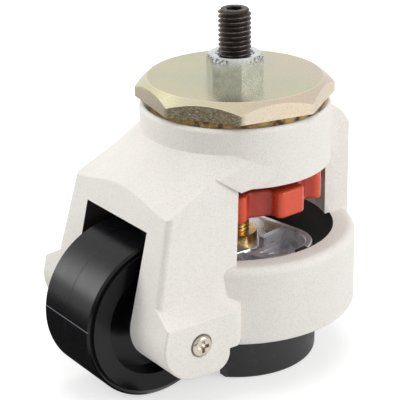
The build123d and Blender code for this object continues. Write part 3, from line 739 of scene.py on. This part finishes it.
class CASTOR_OT_spindle(bpy.types.Operator):
    """Cut the levelling screw's thread"""

    bl_idname = "castor.spindle"
    bl_label = "Levelling screw"

    def execute(self, context):
        sizes = settings("castor_threads")
        tones = settings("castor_colours")
        bar = ThreadMesh(sizes.thread_steps)
        r = sizes.spindle_radius
        foot = low("spindle")
        top = high("spindle")
        thread_top = high("thumbwheel")
        bar.thread(r, sizes.spindle_pitch, foot, thread_top, r - 0.95 * MM, r - 0.95 * MM)
        start = bar.ring(foot, r - 0.95 * MM)
        bar.close(start, foot, False)
        j = sizes.journal_radius
        rings = [
            bar.ring(thread_top, r - 0.95 * MM),
            bar.ring(thread_top, j),
            bar.ring(top - 0.5 * MM, j),
            bar.ring(top, j - 0.5 * MM),
        ]
        for lower, upper in zip(rings, rings[1:]):
            bar.join(lower, upper)
        bar.close(rings[-1], top, True)
        gold = plain_metal(
            "Spindle yellow zinc", tones.spindle, (0.30, 0.17, 0.05), 0.30, 0.3 * MM, 0.02 * MM, 0.7, 3 * MM
        )
        screw = bar.finished("Spindle_thread", gold)
        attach(screw, "leveller")
        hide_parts("spindle")
        return {"FINISHED"}


class CASTOR_OT_housing(bpy.types.Operator):
    """Powder coat the housing"""

    bl_idname = "castor.housing"
    bl_label = "Housing finish"

    def execute(self, context):
        dress(["housing"], powder_coat())
        return {"FINISHED"}


class CASTOR_OT_swivel_plate(bpy.types.Operator):
    """Finish the swivel plate and the dust ring under it"""

    bl_idname = "castor.swivel_plate"
    bl_label = "Swivel plate"

    def execute(self, context):
        dress(["swivel_plate"], plate_zinc())
        dress(["dust_ring"], ring_zinc())
        return {"FINISHED"}


class CASTOR_OT_nut(bpy.types.Operator):
    """Finish the stem's nut"""

    bl_idname = "castor.nut"
    bl_label = "Stem nut"

    def execute(self, context):
        dress(["stem_nut"], nut_zinc())
        return {"FINISHED"}


class CASTOR_OT_wheel(bpy.types.Operator):
    """Finish the wheel"""

    bl_idname = "castor.wheel"
    bl_label = "Wheel"

    def execute(self, context):
        dress(["wheel"], wheel_nylon())
        return {"FINISHED"}


class CASTOR_OT_thumbwheel(bpy.types.Operator):
    """Finish the thumbwheel"""

    bl_idname = "castor.thumbwheel"
    bl_label = "Thumbwheel"

    def execute(self, context):
        dress(["thumbwheel"], thumb_plastic())
        return {"FINISHED"}


class CASTOR_OT_foot(bpy.types.Operator):
    """Finish the foot: its bracket, bush and rubber pad"""

    bl_idname = "castor.foot"
    bl_label = "Foot"

    def execute(self, context):
        tones = settings("castor_colours")
        dress(["foot_bracket"], bracket_casting())
        dress(
            ["spindle_bush"],
            plain_metal("Bush metal", tones.brass, (0.34, 0.20, 0.06), 0.28, 0.4 * MM, 0.02 * MM, 0.5, 4 * MM),
        )
        dress(["foot_pad"], foot_rubber())
        return {"FINISHED"}


class CASTOR_OT_fasteners(bpy.types.Operator):
    """Finish the axle, its screws and the small fasteners"""

    bl_idname = "castor.fasteners"
    bl_label = "Fasteners"

    def execute(self, context):
        tones = settings("castor_colours")
        nickel = plain_metal(
            "Screw nickel", tones.nickel, (0.32, 0.28, 0.22), 0.24, 0.3 * MM, 0.015 * MM, 0.4, 2.5 * MM
        )
        dress(["axle_screw_right", "axle_screw_left", "cover_screws", "pad_screws"], nickel)
        steel = plain_metal("Ground steel", tones.steel, (0.25, 0.24, 0.23), 0.3, 0.4 * MM, 0.02 * MM)
        dress(["axle", "axle_spacer_right", "axle_spacer_left", "drive_pin", "spindle_clip"], steel)
        nylon = plain_metal("Cover zinc", tones.bright_zinc, (0.32, 0.31, 0.29), 0.36, 0.4 * MM, 0.02 * MM)
        dress(["bearing_cover"], nylon)
        return {"FINISHED"}


class CASTOR_OT_bearings(bpy.types.Operator):
    """Finish the races, the balls, the washers and the sleeves"""

    bl_idname = "castor.bearings"
    bl_label = "Bearings"

    def execute(self, context):
        tones = settings("castor_colours")
        race = plain_metal("Hardened race steel", tones.steel, (0.22, 0.20, 0.19), 0.24, 0.3 * MM, 0.01 * MM)
        dress(["upper_race", "lower_race", "seat_ring", "king_bolt_spacer", "wheel_sleeve"], race)
        ball = plain_metal("Ball steel", (0.72, 0.72, 0.73), (0.45, 0.45, 0.46), 0.1, 0.3 * MM, 0.004 * MM)
        dress(["upper_balls", "lower_balls"], ball)
        bronze = plain_metal("Washer bronze", tones.bronze, (0.26, 0.15, 0.06), 0.32, 0.4 * MM, 0.02 * MM)
        dress(["thrust_washer"], bronze)
        return {"FINISHED"}


class CASTOR_OT_stage(bpy.types.Operator):
    """Set the floor, the lamps, the world and the camera"""

    bl_idname = "castor.stage"
    bl_label = "Stage"

    def execute(self, context):
        studio = settings("castor_studio")
        self.floor(studio)
        self.world(studio)
        self.lamps(studio)
        self.boards()
        self.camera(studio)
        bpy.context.scene.view_settings.view_transform = "Standard"
        return {"FINISHED"}

    def floor(self, studio):
        """A plain pale floor that keeps the shadow."""
        size = studio.floor_size
        data = bpy.data.meshes.new("Floor")
        corners = [(-size, -size, 0.0), (size, -size, 0.0), (size, size, 0.0), (-size, size, 0.0)]
        data.from_pydata(corners, [], [(0, 1, 2, 3)])
        made = bpy.data.objects.new("Floor", data)
        bpy.context.scene.collection.objects.link(made)
        finish = Finish("Pale floor")
        grain = finish.noise(30 * MM, 2.0)
        matt = finish.node(
            "ShaderNodeBsdfDiffuse", {}, {"Color": finish.mix(grain, (0.70, 0.70, 0.70), (0.71, 0.71, 0.71))}
        )
        glow = finish.node("ShaderNodeEmission", {}, {"Color": (1.0, 1.0, 1.0, 1.0), "Strength": 0.55})
        both = finish.node("ShaderNodeAddShader", {}, {0: matt, 1: glow})
        camera_ray = finish.node("ShaderNodeLightPath", {}, {}, "Is Camera Ray")
        seen = camera_ray.math("MAXIMUM", camera_ray.beside("Is Glossy Ray"))
        seen = seen.math("MAXIMUM", camera_ray.beside("Is Transmission Ray"))
        shader = finish.node("ShaderNodeMixShader", {}, {0: seen, 1: matt, 2: both})
        finish.node("ShaderNodeOutputMaterial", {}, {"Surface": shader})
        data.materials.append(finish.material)

    def boards(self):
        """Dark boards that only reflections show: one behind the camera, a grey one left of it, one on the floor."""
        facing = math.radians(-126.6)
        self.board("Dark_board", *self.upright(facing, -34, 34), (0.06, 0.06, 0.065))
        self.board("Grey_board", *self.upright(facing, -70, -34), (0.34, 0.34, 0.36))
        x0, x1 = -0.32, -0.052
        y0, y1 = -0.03, 0.36
        level = 0.0005
        corners = [(x0, y0, level), (x1, y0, level), (x1, y1, level), (x0, y1, level)]
        self.board("Floor_board", corners, [(0, 1, 2, 3)], (0.03, 0.03, 0.03))

    def upright(self, facing, start, end):
        """A bent board that stands round the studio between two angles, in degrees from the camera."""
        reach = 2.4
        lowest, highest = 0.02, 0.62
        steps = 12
        corners = []
        for k in range(steps + 1):
            angle = facing + math.radians(start + (end - start) * k / steps)
            x, y = reach * math.cos(angle), reach * math.sin(angle)
            corners += [(x, y, lowest), (x, y, highest)]
        return corners, [(2 * k, 2 * k + 2, 2 * k + 3, 2 * k + 1) for k in range(steps)]

    def board(self, name, corners, faces, tone):
        """One board."""
        data = bpy.data.meshes.new(name)
        data.from_pydata(corners, [], faces)
        made = bpy.data.objects.new(name, data)
        bpy.context.scene.collection.objects.link(made)
        finish = Finish(name + "_cloth")
        grain = finish.noise(80 * MM, 2.0)
        cloth = finish.node(
            "ShaderNodeBsdfDiffuse", {}, {"Color": finish.mix(grain, tone, tuple(c * 1.3 for c in tone))}
        )
        finish.node("ShaderNodeOutputMaterial", {}, {"Surface": cloth})
        data.materials.append(finish.material)
        made.visible_camera = False
        made.visible_diffuse = False
        made.visible_shadow = False

    def world(self, studio):
        """Even light from all round, white where it is seen."""
        world = bpy.data.worlds.new("Studio")
        bpy.context.scene.world = world
        world.use_nodes = True
        tree = world.node_tree
        tree.nodes.clear()
        path = tree.nodes.new("ShaderNodeLightPath")
        seen = tree.nodes.new("ShaderNodeMath")
        seen.operation = "MAXIMUM"
        tree.links.new(path.outputs["Is Camera Ray"], seen.inputs[0])
        tree.links.new(path.outputs["Is Glossy Ray"], seen.inputs[1])
        also = tree.nodes.new("ShaderNodeMath")
        also.operation = "MAXIMUM"
        tree.links.new(seen.outputs[0], also.inputs[0])
        tree.links.new(path.outputs["Is Transmission Ray"], also.inputs[1])
        even = tree.nodes.new("ShaderNodeBackground")
        even.inputs["Strength"].default_value = studio.fill
        white = tree.nodes.new("ShaderNodeBackground")
        white.inputs["Color"].default_value = (1.0, 1.0, 1.0, 1.0)
        white.inputs["Strength"].default_value = 1.0
        even.inputs["Color"].default_value = (1.0, 1.0, 1.0, 1.0)
        blend = tree.nodes.new("ShaderNodeMixShader")
        out = tree.nodes.new("ShaderNodeOutputWorld")
        tree.links.new(also.outputs[0], blend.inputs[0])
        tree.links.new(even.outputs[0], blend.inputs[1])
        tree.links.new(white.outputs[0], blend.inputs[2])
        tree.links.new(blend.outputs[0], out.inputs["Surface"])

    def lamps(self, studio):
        """Three soft lamps."""
        self.lamp("Top_lamp", (0.05, 0.0, 1.25), 1.0, 0.8, 5.0, False)
        self.lamp("Left_lamp", (-0.88, 0.88, 0.66), 0.55, 0.8, 8.7)
        self.lamp("Right_lamp", (0.58, -1.06, 0.50), 0.5, 0.9, 7.4)

    def lamp(self, name, place, width, depth, power, in_reflections=True):
        """One soft lamp aimed at the castor."""
        data = bpy.data.lights.new(name, "AREA")
        data.shape = "RECTANGLE"
        data.size = width
        data.size_y = depth
        data.energy = power
        made = bpy.data.objects.new(name, data)
        made.visible_glossy = in_reflections
        aim = Vector((0.0, 0.0, 0.06)) - Vector(place)
        made.matrix_world = Matrix.Translation(place) @ aim.to_track_quat("-Z", "Y").to_matrix().to_4x4()
        bpy.context.scene.collection.objects.link(made)

    def camera(self, studio):
        """The camera, from its angles and distance."""
        a, e, roll = studio.azimuth, studio.elevation, studio.roll
        back = Vector((math.sin(a) * math.cos(e), -math.cos(a) * math.cos(e), math.sin(e)))
        right = Vector((math.cos(a), math.sin(a), 0.0))
        up = back.cross(right)
        across = right * math.cos(roll) - up * math.sin(roll)
        upward = right * math.sin(roll) + up * math.cos(roll)
        place = Vector((0.0, 0.0, studio.target_height)) + back * studio.distance
        data = bpy.data.cameras.new("Camera")
        data.lens = studio.lens
        data.sensor_width = 36.0
        data.shift_x = studio.shift_x
        data.shift_y = studio.shift_y
        data.clip_start = 0.01
        made = bpy.data.objects.new("Camera", data)
        turn = Matrix((across, upward, back)).transposed().to_4x4()
        made.matrix_world = Matrix.Translation(place) @ turn
        bpy.context.scene.collection.objects.link(made)
        bpy.context.scene.camera = made


OPERATORS = (
    CASTOR_OT_stem,
    CASTOR_OT_spindle,
    CASTOR_OT_housing,
    CASTOR_OT_swivel_plate,
    CASTOR_OT_nut,
    CASTOR_OT_wheel,
    CASTOR_OT_thumbwheel,
    CASTOR_OT_foot,
    CASTOR_OT_fasteners,
    CASTOR_OT_bearings,
    CASTOR_OT_stage,
)


class CASTOR_PT_panel(bpy.types.Panel):
    """The castor's pieces, finishes and stage"""

    bl_idname = "CASTOR_PT_panel"
    bl_label = "Levelling castor"
    bl_space_type = "VIEW_3D"
    bl_region_type = "UI"
    bl_category = "Castor"

    def draw(self, context):
        for operator in OPERATORS:
            self.layout.operator(operator.bl_idname)


def register():
    """Registers the settings, the operators and the panel."""
    for name, group in SETTINGS:
        bpy.utils.register_class(group)
        setattr(bpy.types.Scene, name, PointerProperty(type=group))
    for operator in OPERATORS:
        bpy.utils.register_class(operator)
    bpy.utils.register_class(CASTOR_PT_panel)


def unregister():
    """Takes away what register added."""
    bpy.utils.unregister_class(CASTOR_PT_panel)
    for operator in reversed(OPERATORS):
        bpy.utils.unregister_class(operator)
    for name, group in reversed(SETTINGS):
        delattr(bpy.types.Scene, name)
        bpy.utils.unregister_class(group)


def main():
    """Registers the settings and dresses the castor."""
    register()
    bpy.ops.castor.stem()
    bpy.ops.castor.spindle()
    bpy.ops.castor.housing()
    bpy.ops.castor.swivel_plate()
    bpy.ops.castor.nut()
    bpy.ops.castor.wheel()
    bpy.ops.castor.thumbwheel()
    bpy.ops.castor.foot()
    bpy.ops.castor.fasteners()
    bpy.ops.castor.bearings()
    bpy.ops.castor.stage()


if __name__ == "__main__":
    main()
